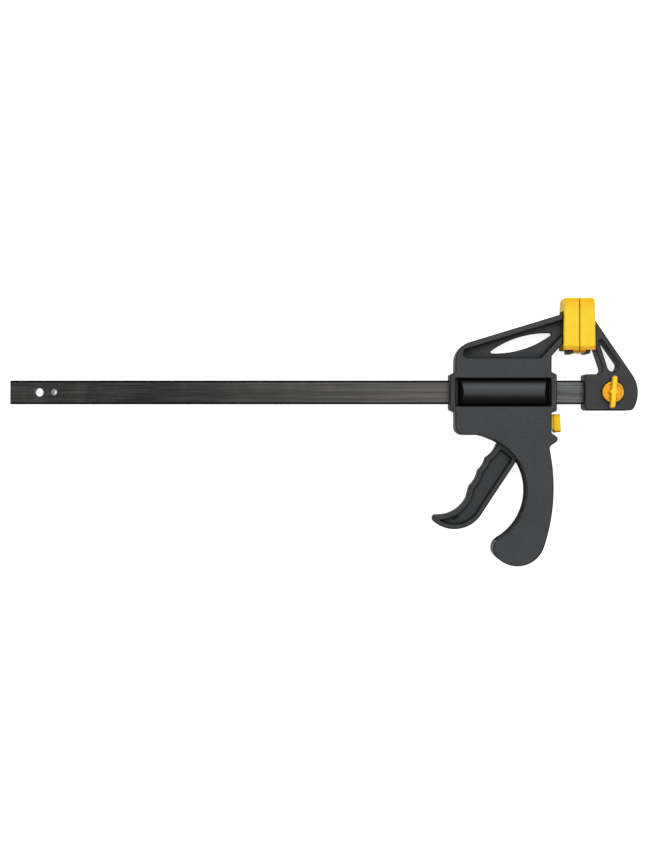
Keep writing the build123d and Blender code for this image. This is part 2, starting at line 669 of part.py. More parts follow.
def make_release_button(plate):
    """Yellow cap, with a neck into the head that is moulded over the tail of the brake plate."""
    face = RectangleRounded(CAP_BOTTOM - CAP_TOP, 2 * CAP_HALF, CAP_CORNER)
    cap = extrude(Plane.YZ * face, CAP_THICKNESS / 2, both=True)
    ends = cap.faces().filter_by(Axis.X)
    cap = fillet([edge for end in ends for edge in end.edges()], CAP_ROUND)
    out = CAP_GAP + CAP_THICKNESS / 2
    rise = -(NECK_TOP + NECK_BOTTOM) / 2 - CAP_CENTRE[1] + out * sin(radians(CAP_LEAN))
    side = Pos(rise, 0) * RectangleRounded(NECK_BOTTOM - NECK_TOP, 2 * (BRAKE_HALF + NECK_SIDE), 1.0)
    cap += Pos(-out - NECK_REACH, 0, 0) * extrude(Plane.YZ * side, out + NECK_REACH, dir=(1, 0, 0))
    return Pos(*CAP_CENTRE) * Rot(0, 0, CAP_LEAN) * cap - plate


def make_brake_spring():
    start = BRAKE_BACK - BRAKE_SPRING_SEAT + 0.05
    end = (brake_face(-BRAKE_SPRING_DROP + BRAKE_SPRING_R)
           - BRAKE_PLATE / cos(radians(BRAKE_LEAN)) - 0.1)
    return coil(BRAKE_SPRING_R - BRAKE_SPRING_WIRE / 2, BRAKE_SPRING_WIRE, BRAKE_SPRING_TURNS,
                start, end, -BRAKE_SPRING_DROP)


def by_pivot(spot):
    """Point given as distances behind and below the trigger's pivot."""
    return (PIVOT[0] - spot[0], PIVOT[1] - spot[1])


def sag_radius(start, end, sagitta):
    """Radius of the arc between two points that stands a sagitta off their chord."""
    half = hypot(end[0] - start[0], end[1] - start[1]) / 2
    return (half**2 + sagitta**2) / (2 * sagitta)


def trigger_profile():
    """Outline of the trigger: lobe, shoulder, scalloped finger side, toe, sole and back."""
    fingers = []
    for i, depth in enumerate(SCALLOP_DEPTH):
        radius = sag_radius(FINGER_LINE[i], FINGER_LINE[i + 1], depth)
        fingers.append((*by_pivot(FINGER_LINE[i]), -radius, BUMP_ROUND if i else 0))
    return profile(
        (LOBE[0] + LOBE_R, LOBE[1] + LOBE_R, 0, LOBE_R * 0.98),
        (LOBE[0] - LOBE_R, LOBE[1] + LOBE_R, 0, LOBE_R * 0.98),
        (LOBE[0] - LOBE_R, PIVOT[1] + (LOBE_RISE + PIVOT_PIN_R) / 2, 0, LOBE_R * 0.8),
        (*by_pivot(HEAD_SHOULDER), 0, SHOULDER_ROUND),
        *fingers,
        (*by_pivot(FINGER_LINE[-2]), 0, BUMP_ROUND),
        (*by_pivot(FINGER_LINE[-1]), -TOE_HOLLOW_R, 0),
        (*by_pivot(TOE_TOP), 0, 0),
        (*by_pivot(TOE_TIP), 0, TOE_ROUND),
        (*by_pivot(TOE_LOW), SOLE_R, 0),
        (*by_pivot(BACK_LOW), 0, 0),
        (*by_pivot(BACK_TOP), 0, SHOULDER_ROUND),
        (PIVOT[0] - BACK_TOP[0], PIVOT[1] + SHOULDER_ROUND, 0, SHOULDER_ROUND),
    )


def trigger_web_profile():
    """Recess in each side of the trigger: its outline, a rim's width inside."""
    inside = offset(trigger_profile(), -TRIGGER_RIM, kind=Kind.INTERSECTION)
    x0, y0 = by_pivot(POCKET_TOP[:2])
    x1, y1 = by_pivot(POCKET_TOP[2:])
    tilt = degrees(atan2(y1 - y0, x1 - x0))
    below = Pos((x0 + x1) / 2, (y0 + y1) / 2) * Rot(0, 0, tilt) * Rectangle(
        HEAD_LENGTH, 2 * HEAD_LENGTH, align=(Align.CENTER, Align.MAX))
    web = (inside & below).faces().sort_by(SortBy.AREA)[-1]
    ends = web.vertices().sort_by_distance((x0, y0, 0))[:1]
    ends += web.vertices().sort_by_distance((x1, y1, 0))[:1]
    return web.fillet_2d(POCKET_CORNER, ends)


def make_trigger():
    trigger = slab(trigger_profile(), -TRIGGER_HALF, TRIGGER_HALF)
    flat = trigger.faces().filter_by(Plane.XY)
    trigger = fillet([edge for face in flat for edge in face.edges()], TRIGGER_ROUND)
    web = trigger_web_profile()
    trigger -= slab(web, TRIGGER_WEB_HALF, TRIGGER_HALF + 1)
    trigger -= slab(web, -TRIGGER_HALF - 1, -TRIGGER_WEB_HALF)
    return trigger - rod(*PIVOT, PIVOT_PIN_R + SHAFT_FIT, -HEAD_HALF, HEAD_HALF)


def make_trigger_pin():
    half = INNER_HALF + PIN_SEAT - 0.05
    pin = rod(*PIVOT, PIVOT_PIN_R, -half, half)
    return chamfer(pin.edges().filter_by(GeomType.CIRCLE), 0.4)


# ---- Pads ----
def make_pad():
    """Cap over a jaw tip: clamping wall, bridge and two flanges. This is the moving one."""
    end = Rectangle(PAD_TOP - PAD_BOTTOM, 2 * PAD_HALF)
    end = fillet(end.vertices().group_by(Axis.X)[-1], PAD_TOP_ROUND)
    end = fillet(end.vertices().group_by(Axis.X)[0], PAD_LOW_ROUND)
    pad = extrude(Plane.YZ * end, PAD_DEPTH[1], dir=(-1, 0, 0))
    pad = Pos(-FACE, (PAD_TOP + PAD_BOTTOM) / 2, 0) * pad
    behind_pad = make_face(Polyline(
        (-FACE - PAD_DEPTH[0], PAD_TOP), (-2 * PAD_BACK, PAD_TOP), (-2 * PAD_BACK, PAD_BOTTOM),
        (-PAD_BACK, PAD_BOTTOM), close=True))
    pad -= slab(behind_pad, -PAD_HALF - 1, PAD_HALF + 1)
    pad = fillet(pad.faces().sort_by(Axis.X)[0].edges(), PAD_BACK_ROUND)
    pad = fillet(pad.faces().sort_by(Axis.X)[-1].edges(), PAD_FACE_ROUND)
    pad -= block(-PAD_BACK - 1, -PLATE_FRONT, 0, ARM_TIP_TOP, -TIP_HALF - PAD_FIT,
                 TIP_HALF + PAD_FIT)
    return pad - block(-PAD_BACK - 1, -PLATE_FRONT, 0, PAD_BOTTOM + PAD_FLANGE_LIFT,
                       -PAD_HALF - 1, PAD_HALF + 1)


# ---- Fixed jaw and wing screw ----
def jaw_heel(angle):
    """Point of the jaw's round heel, at an angle in radians."""
    return (JAW_HEEL_X + JAW_HEEL_R * cos(angle), JAW_HEEL_R * sin(angle) - JAW_HEEL_DROP)


def jaw_profile():
    """Outline of the fixed jaw: bar block, round heel, straight back and tip."""
    slope = radians(JAW_FOOT_SLOPE)
    foot = jaw_heel(-slope)
    tip = (PLATE_FRONT + JAW_TIP_WIDTH - JAW_HEEL_X, ARM_TIP_TOP + JAW_HEEL_DROP)
    back = jaw_heel(atan2(tip[1], tip[0]) - acos(JAW_HEEL_R / hypot(*tip)))
    x0, y0, x1, y1 = JAW_THROAT
    throat = (x1 - x0) / (y1 - y0)
    foot_round = (JAW_LOW + foot[1]) / cos(slope) / tan((pi / 2 - slope) / 2)
    return profile(
        (JAW_SETBACK, -JAW_LOW, 0, JAW_CORNER_ROUND),
        (foot[0] - (JAW_LOW + foot[1]) * tan(slope), -JAW_LOW, 0,
         min(JAW_FOOT_ROUND, 0.9 * foot_round)),
        (*foot, JAW_HEEL_R, 0),
        (*back, 0, 0),
        (PLATE_FRONT + JAW_TIP_WIDTH, ARM_TIP_TOP, 0, 0),
        (PLATE_FRONT, ARM_TIP_TOP, 0, 0),
        (PLATE_FRONT, TIP_BOTTOM, 0, 0),
        (PLATE_BACK, TIP_BOTTOM, 0, TIP_ROUND),
        (PLATE_BACK, y0 + (PLATE_BACK - x0) / throat, 0, TIP_ROUND),
        (x1 + (JAW_STEP - y1) * throat, JAW_STEP, 0, JAW_THROAT_ROUND),
        (JAW_SETBACK, JAW_STEP, 0, JAW_STEP_ROUND),
    )


def drop_profile():
    """Teardrop window of the fixed jaw."""
    ends = [Pos(x, y) * Circle(r) for x, y, r in (DROP_TOP, DROP_LOW)]
    return make_hull((ends[0] + ends[1]).edges()).face()


def make_fixed_jaw():
    jaw = slab(jaw_profile(), -TIP_HALF, TIP_HALF)
    flat = jaw.faces().filter_by(Plane.XY)
    jaw = fillet([edge for face in flat for edge in face.edges()], EDGE_ROUND)
    jaw -= slab(drop_profile(), -TIP_HALF - 1, TIP_HALF + 1)
    jaw -= bar_slot(0, BAR_END + JAW_FIT, JAW_FIT)
    pin_half = BAR_THICKNESS / 2 + PIN_PROUD + RUN_GAP
    jaw -= block(0, JAW_PIN_X, -PIN_R - JAW_FIT, PIN_R + JAW_FIT, -pin_half, pin_half)
    jaw -= rod(JAW_PIN_X, 0, PIN_R + JAW_FIT, -pin_half, pin_half)
    jaw -= rod(STUD_X, 0, STUD_R + RUN_GAP, -TIP_HALF - 1, TIP_HALF + 1)
    nut_room = RegularPolygon((NUT_AF + JAW_FIT) / 2, 6, major_radius=False)
    return jaw - slab(Pos(STUD_X, 0) * nut_room, -TIP_HALF - 1, nut_top())


def nut_top():
    return -TIP_HALF + NUT_INSET + NUT_HEIGHT


def make_nut():
    hexagon = RegularPolygon(NUT_AF / 2, 6, major_radius=False)
    nut = slab(Pos(STUD_X, 0) * hexagon, nut_top() - NUT_HEIGHT, nut_top())
    nut &= rod(STUD_X, 0, NUT_AF * 0.56, nut_top() - NUT_HEIGHT, nut_top())
    return nut - rod(STUD_X, 0, STUD_R + THREAD_FIT, -TIP_HALF, 0)


def make_wing_washer():
    washer = rod(STUD_X, 0, WASHER_R, TIP_HALF, TIP_HALF + WASHER_THICKNESS)
    return washer - rod(STUD_X, 0, STUD_R + RUN_GAP, 0, 2 * TIP_HALF)


def stud_shoulder():
    return TIP_HALF + RUN_GAP + KNOB_HEIGHT - KNOB_DISH - STUD_COVER


def make_wing_stud():
    stud = rod(STUD_X, 0, STUD_R, -TIP_HALF + STUD_TIP, stud_shoulder())
    stud = chamfer(stud.edges().filter_by(GeomType.CIRCLE), 0.5)
    return stud + rod(STUD_X, 0, STUD_TANG_R, 0, stud_shoulder() + STUD_TANG)


def make_wing_knob():
    """Dished disc with a wing across it, hollow below for the washer and the stud."""
    foot = TIP_HALF + RUN_GAP
    disc = rod(0, 0, KNOB_R, foot, foot + KNOB_HEIGHT)
    disc = fillet(disc.edges().filter_by(GeomType.CIRCLE), 0.8)
    disc -= rod(0, 0, KNOB_R - KNOB_RIM, foot + KNOB_HEIGHT - KNOB_DISH, foot + 2 * KNOB_HEIGHT)
    wing = slab(SlotOverall(WING_LENGTH, WING_WIDTH, rotation=90), foot + WING_LIFT, foot + WING_TOP)
    wing = fillet(top_edges(wing, foot + WING_TOP), 1.2)
    levels = ((foot + WING_LIFT, HUB_SIDE), (foot + WING_TOP + HUB_PROUD, HUB_TOP))
    hub = loft([Pos(0, 0, height) * RectangleRounded(side, side, side / 5)
                for height, side in levels])
    knob = disc + wing + Rot(0, 0, 45) * hub
    knob -= rod(0, 0, WASHER_R + RUN_GAP, 0, TIP_HALF + WASHER_THICKNESS)
    knob = Rot(0, 0, -WING_TILT) * knob
    knob = Pos(STUD_X, 0, 0) * knob - rod(STUD_X, 0, STUD_R, 0, stud_shoulder())
    return knob - rod(STUD_X, 0, STUD_TANG_R, 0, stud_shoulder() + STUD_TANG)


# ---- All pieces, moved to the clamp's own origin, and written ----
def make_pieces():
    half = half_shell()
    brake_plate = make_brake_plate()
    pad = make_pad()
    return {
        "bar": make_bar(),
        "stop_pin": make_roll_pin(STOP_PIN_X),
        "jaw_pin": make_roll_pin(JAW_PIN_X),
        "fixed_jaw": make_fixed_jaw(),
        "fixed_pad": mirror(pad, about=Plane.YZ),
        "captive_nut": make_nut(),
        "wing_washer": make_wing_washer(),
        "wing_stud": make_wing_stud(),
        "wing_knob": make_wing_knob(),
        "front_shell": make_front_shell(half),
        "rear_shell": make_rear_shell(half),
        "shell_screws": make_screws(),
        "moving_pad": pad,
        "trigger_pin": make_trigger_pin(),
        "trigger": make_trigger(),
        "spring_washer": make_spring_washer(),
        "drive_spring": make_drive_spring(),
        "drive_plate": make_drive_plate(),
        "brake_plate": brake_plate,
        "brake_spring": make_brake_spring(),
        "release_button": make_release_button(brake_plate),
    }


pieces = make_pieces()
whole = Compound([piece for shape in pieces.values() for piece in shape.solids()]).bounding_box()
SHIFT = (-whole.center().X, -whole.center().Y, -whole.min.Z)
os.makedirs("parts", exist_ok=True)
for name, piece in pieces.items():
    export_step(Pos(*SHIFT) * piece, f"parts/{name}.step")
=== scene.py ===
"""Looks of a one-handed quick release bar clamp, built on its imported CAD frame.

Lengths are in metres in the frame's own axes: X along the bar towards the fixed jaw, Y from the
grip towards the pads, Z up through the thickness of the clamp, which lies on its side.
"""

import math

import bpy
import numpy as np
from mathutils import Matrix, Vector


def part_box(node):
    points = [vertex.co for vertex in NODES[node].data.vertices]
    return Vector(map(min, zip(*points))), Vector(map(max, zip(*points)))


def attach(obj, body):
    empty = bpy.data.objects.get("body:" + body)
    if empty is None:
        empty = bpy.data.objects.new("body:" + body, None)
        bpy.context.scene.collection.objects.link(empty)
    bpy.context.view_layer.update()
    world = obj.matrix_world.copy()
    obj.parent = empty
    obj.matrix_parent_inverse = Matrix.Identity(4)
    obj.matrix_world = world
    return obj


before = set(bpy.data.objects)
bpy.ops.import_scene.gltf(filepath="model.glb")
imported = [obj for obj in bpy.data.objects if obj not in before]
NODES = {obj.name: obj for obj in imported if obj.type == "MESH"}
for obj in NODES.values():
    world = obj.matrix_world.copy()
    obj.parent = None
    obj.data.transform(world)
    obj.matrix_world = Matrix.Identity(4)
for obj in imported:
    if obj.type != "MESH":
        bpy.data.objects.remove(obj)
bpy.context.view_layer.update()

MM = 0.001

# Where the things that the dressing pieces sit on are, in millimetres
BAR_FACE_Z = 16.0
TRIGGER_WEB_Z = 16.7
BAR_AXIS_Y = 29.90
BAR_HALF = 9.0

# Stretches of the bar along X over which its tone changes, in metres
BAR_FREE_END = (-0.21, -0.14)
BAR_UNDER_HEAD = (-0.13, 0.08)
BAR_AT_JAW = (0.14, 0.16)
# where the painted shade line along each edge of the bar fades in
BAR_SIDE_LINE = (1.8, 1.0)  # from the bar's edge, in millimetres

# Grains of the bar: feature size in millimetres, detail, roughness, stretch and shift
BAR_GRAINS = {
    "fine": (0.5, 4, 0.7, (0.012, 1, 1), (0, 0, 0)),
    "broad": (2.4, 3, 0.6, (0.02, 1, 1), (0.3, 0, 0)),
    "rubbed_and_highlighted": (30, 3, 0.6, (1, 0.5, 0.5), (0, 0, 0)),
    "scuffed": (0.8, 5, 0.75, (0.08, 0.6, 1), (0, 0.7, 0)),
}
# What each grain lays on the bar: where it starts and is whole, how much of it, and its colour
BAR_LAYERS = [
    ("rubbed_and_highlighted", 0.5, 0.72, 0.35, "4e4c48"),
    ("broad", 0.40, 0.62, 0.6, "1c1c1c"),
    ("fine", 0.45, 0.75, 0.35, "5a5958"),
    ("scuffed", 0.62, 0.75, 0.4, "6e6c6a"),
]

# Bands of painted shade on the pads, a dark foot and an orange upper band with its lip, in
# millimetres from their lower and upper ends
PAD_FOOT_BAND = (4.3, 5.3)
PAD_TOP_BAND = (10.0, 4.5)
PAD_TOP_LIP = (0.5, 3.0)

# painted shade on the wing knob: warm and darker low down, clearing on its raised parts
KNOB_SHADE_HEIGHTS = (3.5, 8.3)  # heights over the knob's foot where its colour clears, in millimetres
FLOOR_HALF = 3.0  # metres
FLOOR_CELLS = 12
FLOOR_Z = -0.0002

# Kinds of nodes
PLACE = "ShaderNodeTexCoord"
LAY = "ShaderNodeMapping"
GEOMETRY = "ShaderNodeNewGeometry"
OCCLUSION = "ShaderNodeAmbientOcclusion"
NOISE = "ShaderNodeTexNoise"
SPLIT = "ShaderNodeSeparateXYZ"
MATH = "ShaderNodeMath"
RANGE = "ShaderNodeMapRange"  # its sockets: value, from low and high, to low and high
MIX = "ShaderNodeMix"
BUMP = "ShaderNodeBump"
SHADER = "ShaderNodeBsdfPrincipled"
SURFACE = "ShaderNodeOutputMaterial"

# Settings that come back often
TIMES = {"operation": "MULTIPLY"}
COLOURS = {"data_type": "RGBA", "out": 2}  # sockets: 0 the share, 6 and 7 the colours at 0 and 1


# ---- Helpers for colours and nodes ----
def linear(hex_colour):
    """An sRGB colour written as RRGGBB, as linear RGBA."""
    channels = np.array([int(hex_colour[i:i + 2], 16) for i in (0, 2, 4)]) / 255
    curve = np.where(channels <= 0.04045, channels / 12.92, ((channels + 0.055) / 1.055) ** 2.4)
    return (*curve.tolist(), 1.0)


def per(size_mm):
    """Texture scale at which one feature of a noise is about size_mm across."""
    return 1000 / size_mm


def add(tree, kind, inputs=(), out=0, **settings):
    """Adds a node with its own settings, gives its inputs values or links, and returns an output.

    Inputs are a row in the order of the node's sockets, or a dict by their names or numbers.
    """
    made = tree.nodes.new(kind)
    for name, value in settings.items():
        setattr(made, name, value)
    given = inputs.items() if isinstance(inputs, dict) else enumerate(inputs)
    for socket, value in given:
        if isinstance(value, bpy.types.NodeSocket):
            tree.links.new(value, made.inputs[socket])
        else:
            made.inputs[socket].default_value = value
    return None if out is None else made.outputs[out]


def new_material(name):
    """An empty material and its node tree."""
    material = bpy.data.materials.new(name)
    material.use_nodes = True
    material.node_tree.nodes.clear()
    return material, material.node_tree


def leanings(tree):
    """How far the true surface looks along Z, either way, and along Y.

    The clamp lies flat, so its faces look along Z and its walls across it, and what looks
    neither way is a rounding. The levers and the wing turn about Z, and keep their Z share.
    """
    parts = add(tree, SPLIT, (add(tree, GEOMETRY, out="Normal"),)).node
    up = add(tree, MATH, (parts.outputs["Z"],), operation="ABSOLUTE")
    return up, parts.outputs["Y"]


def rounding_shade_share(tree):
    """0 on faces, 1 far down a rounding or a barrel's flank, and about half on upright walls.

    This is where painted shade goes, as a surface turns from light that comes from +Z and a little
    +Y.
    """
    up, across = leanings(tree)
    tilted = add(tree, MATH, (add(tree, MATH, (up, 0.978), **TIMES),
                              add(tree, MATH, (across, 0.21), **TIMES)), operation="ADD")
    level = add(tree, RANGE, (tilted, 0.80, 0.974))
    lean = add(tree, MATH, (1.0, add(tree, MATH, (level, level), **TIMES)), operation="SUBTRACT")
    upright = add(tree, RANGE, (up, 0.02, 0.25, 0.55, 1.0))
    return add(tree, MATH, (lean, upright), **TIMES)


def hollow_share(tree, reach_mm, open_at=0.95, deep_at=0.45):
    """0 in the open and 1 deep in a groove or inner corner."""
    seen = add(tree, OCCLUSION, {"Distance": reach_mm * MM}, out="AO", samples=8)
    return add(tree, RANGE, (seen, open_at, deep_at))


def edge_share(tree):
    """1 beside a sharp outer edge, where the material is thin below the skin, and 0 elsewhere."""
    within = add(tree, OCCLUSION, {"Distance": 1.1 * MM}, out="AO", samples=8, inside=True,
                 only_local=True)
    return add(tree, RANGE, (within, 0.95, 0.65))


# ---- Materials ----
def moulded_nylon(name, colour, deep):
    """Glass-filled polyamide 6 from a spark-eroded mould.

    It gives the eye a dry charcoal skin with a fine even grain, cloudy where the melt flowed.
    Painted shade makes it almost black in its grooves, along its edges and down its roundings, and
    dark between the grip and the trigger, and a painted highlight makes it paler along its upper
    lips.
    The real grain is about 0.2 mm across, and is drawn coarser so that it shows.
    """
    material, tree = new_material(name)
    where = add(tree, PLACE, out="Object")
    grain = add(tree, NOISE, {"Vector": where, "Scale": per(1.1), "Detail": 3, "Roughness": 0.7})
    cloud = add(tree, NOISE, {"Vector": where, "Scale": per(16), "Detail": 4, "Roughness": 0.55})
    cloudy = add(tree, RANGE, (cloud, 0.35, 0.65, 0, 0.35))
    clouded = add(tree, MIX, {0: cloudy, 6: linear(colour), 7: linear(deep)}, **COLOURS)
    speck = add(tree, RANGE, (grain, 0.38, 0.62, 0.75, 0))
    speckled = add(tree, MIX, {0: speck, 6: clouded, 7: linear(deep)}, **COLOURS)
    shade = add(tree, MATH, (hollow_share(tree, 9.0, 0.75, 0.20), 0.5), **TIMES)
    shaded = add(tree, MIX, {0: shade, 6: speckled, 7: linear("101011")}, **COLOURS)
    up, across = leanings(tree)
    # painted highlight: paler along the upper lips, where roundings face +Y and catch the light
    lip = add(tree, MATH, (add(tree, RANGE, (across, 0.08, 0.30)),
                           add(tree, RANGE, (up, 0.80, 0.95))), **TIMES)
    lip_highlight = add(tree, MATH, (lip, 0.5), **TIMES)
    rubbed_and_highlighted = add(tree, MIX, {0: lip_highlight, 6: shaded, 7: linear("626365")}, **COLOURS)
    # painted shade: near black down the roundings and the barrel's flanks, as they turn from the
    # light
    edge = add(tree, MATH, (rounding_shade_share(tree), 0.97), **TIMES)
    edge_shaded = add(tree, MIX, {0: edge, 6: rubbed_and_highlighted, 7: linear("040405")}, **COLOURS)
    # painted shade: near black in grooves and inner corners
    groove = add(tree, MATH, (hollow_share(tree, 1.4, 0.92, 0.66), 0.97), **TIMES)
    groove_shaded = add(tree, MIX, {0: groove, 6: edge_shaded, 7: linear("030304")}, **COLOURS)
    # painted shade: a near-black line along sharp outer edges, but the edges that look towards +Y
    # catch the light and stay plain
    below = add(tree, RANGE, (across, 0.25, 0.02, 0.2, 0.95))
    line = add(tree, MATH, (edge_share(tree), below), **TIMES)
    outline_shaded = add(tree, MIX, {0: line, 6: groove_shaded, 7: linear("030304")}, **COLOURS)
    # painted shade: dark on walls deep in enclosed places, such as between the grip and the
    # trigger
    wall = add(tree, RANGE, (up, 0.5, 0.1))
    enclosed = add(tree, MATH, (hollow_share(tree, 26, 0.62, 0.42), wall), **TIMES)
    dark = add(tree, MATH, (enclosed, 0.95), **TIMES)
    enclosed_shaded = add(tree, MIX, {0: dark, 6: outline_shaded, 7: linear("1a1b1c")}, **COLOURS)
    skin = add(tree, RANGE, (grain, 0.3, 0.7, 0.58, 0.70))
    # the grain's real depth is about 0.02 mm
    bump = add(tree, BUMP, {"Height": grain, "Distance": 0.06 * MM, "Strength": 0.6})
    shader = add(tree, SHADER, {"Base Color": enclosed_shaded, "Roughness": skin, "Normal": bump,
                                "IOR": 1.53, "Specular IOR Level": 0.12})
    add(tree, SURFACE, (shader,), out=None)
    return material


def moulded_yellow(name, colour, warm, shade_tone, rough, ior, shade_heights=None, ends=None):
    """Yellow moulded plastic with a satin skin.

    It gives the eye one saturated colour, with painted orange shading where it rounds towards +Y
    and the light, painted shade where it rounds away and in its corners, a faint mottle from the
    melt and a soft broad sheen. Shade heights is a range of heights over which the warm painted
    shade low on the part turns to the main colour higher up. Ends are a pad's lowest and highest
    places along Y, which get a painted dark shade at the foot and a painted orange shade band
    below the top.
    """
    material, tree = new_material(name)
    where = add(tree, PLACE, out="Object")
    place = add(tree, SPLIT, (where,)).node
    grain = add(tree, NOISE, {"Vector": where, "Scale": per(0.9), "Detail": 2, "Roughness": 0.55})
    cloud = add(tree, NOISE, {"Vector": where, "Scale": per(9), "Detail": 3, "Roughness": 0.55})
    main = linear(colour)
    # painted shade: the warm colour low on the part, clearing to the main colour higher up
    if shade_heights:
        height = add(tree, RANGE, (place.outputs["Z"], *shade_heights))
        main = add(tree, MIX, {0: height, 6: linear(warm), 7: main}, **COLOURS)
    if ends:
        along = place.outputs["Y"]
        foot_edge = [ends[0] + step * MM for step in PAD_FOOT_BAND]
        top_edge = [ends[1] - step * MM for step in PAD_TOP_BAND]
        lip_edge = [ends[1] - step * MM for step in PAD_TOP_LIP]
        # painted shade: a dark foot at the pad's lower end, and an orange shade band below its top
        foot = add(tree, RANGE, (along, *foot_edge, 0.7, 0))
        top = add(tree, MATH, (add(tree, RANGE, (along, *top_edge, 0, 0.75)),
                               add(tree, RANGE, (along, *lip_edge))), **TIMES)
        topped = add(tree, MIX, {0: top, 6: main, 7: linear(warm)}, **COLOURS)
        main = add(tree, MIX, {0: foot, 6: topped, 7: linear(shade_tone)}, **COLOURS)
    cloudy = add(tree, RANGE, (cloud, 0.35, 0.65, 0, 0.25))
    clouded = add(tree, MIX, {0: cloudy, 6: main, 7: linear(warm)}, **COLOURS)
    up, across = leanings(tree)
    # painted shading: orange on roundings that face part way towards +Y
    band = add(tree, MATH, (add(tree, RANGE, (across, 0.12, 0.35)),
                            add(tree, RANGE, (across, 0.9, 0.6))), **TIMES)
    warmth = add(tree, MATH, (band, 0.9), **TIMES)
    banded = add(tree, MIX, {0: warmth, 6: clouded, 7: linear(warm)}, **COLOURS)
    # painted shade on roundings that face towards -Y
    low = add(tree, MATH, (add(tree, RANGE, (across, -0.10, -0.60)),
                           add(tree, RANGE, (up, 0.02, 0.25))), **TIMES)
    shade = add(tree, MATH, (low, 0.85), **TIMES)
    lowered = add(tree, MIX, {0: shade, 6: banded, 7: linear(shade_tone)}, **COLOURS)
    # painted shade in corners
    corner = add(tree, MATH, (hollow_share(tree, 2.2, 0.85, 0.3), 0.8), **TIMES)
    cornered = add(tree, MIX, {0: corner, 6: lowered, 7: linear(shade_tone)}, **COLOURS)
    skin = add(tree, RANGE, (grain, 0.3, 0.7, rough - 0.05, rough + 0.05))
    bump = add(tree, BUMP, {"Height": grain, "Distance": 0.03 * MM, "Strength": 0.4})
    shader = add(tree, SHADER, {"Base Color": cornered, "Roughness": skin, "Normal": bump,
                                "IOR": ior, "Specular IOR Level": 0.2})
    add(tree, SURFACE, (shader,), out=None)
    return material


def cold_drawn_bar(name):
    """Cold-drawn steel bar, oiled and blackened, brushed along its length.

    It gives the eye long dark and light streaks, straw stains where the oil dried, scuffs from
    the head that slides on it, and a painted shade line along each edge.
    """
    material, tree = new_material(name)
    where = add(tree, PLACE, out="Object")
    grains = {}
    for grain, (size_mm, detail, rough, stretch, shift) in BAR_GRAINS.items():
        laid = add(tree, LAY, {"Vector": where, "Scale": stretch, "Location": shift})
        grains[grain] = add(tree, NOISE, {"Vector": laid, "Scale": per(size_mm),
                                          "Detail": detail, "Roughness": rough})
    place = add(tree, SPLIT, (where,)).node
    along = place.outputs["X"]
    free = add(tree, RANGE, (along, *BAR_FREE_END))
    free_end = add(tree, MIX, {0: free, 6: linear("262625"), 7: linear("1b1c1d")}, **COLOURS)
    under_head = add(tree, RANGE, (along, *BAR_UNDER_HEAD))
    worn = add(tree, MIX, {0: under_head, 6: free_end, 7: linear("454442")}, **COLOURS)
    # past the head the bar keeps the pale steel that the jaws shield
    at_jaw = add(tree, RANGE, (along, *BAR_AT_JAW))
    tone = add(tree, MIX, {0: at_jaw, 6: worn, 7: linear("545556")}, **COLOURS)
    for grain, low, high, share, colour in BAR_LAYERS:
        strength = add(tree, MATH, (add(tree, RANGE, (grains[grain], low, high)), share), **TIMES)
        tone = add(tree, MIX, {0: strength, 6: tone, 7: linear(colour)}, **COLOURS)
    across = add(tree, MATH, (place.outputs["Y"], BAR_AXIS_Y * MM), operation="SUBTRACT")
    height = add(tree, MATH, (across,), operation="ABSOLUTE")
    # painted shade: a near-black line along each edge of the bar
    side_edge = [(BAR_HALF - step) * MM for step in BAR_SIDE_LINE]
    side = add(tree, RANGE, (height, *side_edge, 0, 0.97))
    edge_shaded = add(tree, MIX, {0: side, 6: tone, 7: linear("030303")}, **COLOURS)
    rough = add(tree, RANGE, (grains["broad"], 0.3, 0.7, 0.36, 0.52))
    bump = add(tree, BUMP, {"Height": grains["fine"], "Distance": 0.02 * MM, "Strength": 0.5})
    shader = add(tree, SHADER, {"Base Color": edge_shaded, "Metallic": 1.0, "Roughness": rough,
                                "Normal": bump})
    add(tree, SURFACE, (shader,), out=None)
    return material


def worked_steel(name, colour, stain, rough):
    """Small steel part, as drawn, stamped or plated.

    It gives the eye a grey metal with fine working lines and a few dull stains.
    """
    material, tree = new_material(name)
    where = add(tree, PLACE, out="Object")
    lines = add(tree, NOISE, {"Vector": where, "Scale": per(0.35), "Detail": 4, "Roughness": 0.65})
    stains = add(tree, NOISE, {"Vector": where, "Scale": per(3.5), "Detail": 3, "Roughness": 0.55})
    dull = add(tree, MATH, (add(tree, RANGE, (stains, 0.45, 0.7)), 0.6), **TIMES)
    toned = add(tree, MIX, {0: dull, 6: linear(colour), 7: linear(stain)}, **COLOURS)
    # painted shade: darker in hollows and inner corners
    hollow_shade = add(tree, MATH, (hollow_share(tree, 2.0), 0.8), **TIMES)
    hollow_shaded = add(tree, MIX, {0: hollow_shade, 6: toned, 7: linear("1a1918")}, **COLOURS)
    skin = add(tree, RANGE, (lines, 0.3, 0.7, rough - 0.08, rough + 0.1))
    bump = add(tree, BUMP, {"Height": lines, "Distance": 0.015 * MM, "Strength": 0.5})
    shader = add(tree, SHADER, {"Base Color": hollow_shaded, "Metallic": 1.0, "Roughness": skin,
                                "Normal": bump})
    add(tree, SURFACE, (shader,), out=None)
    return material


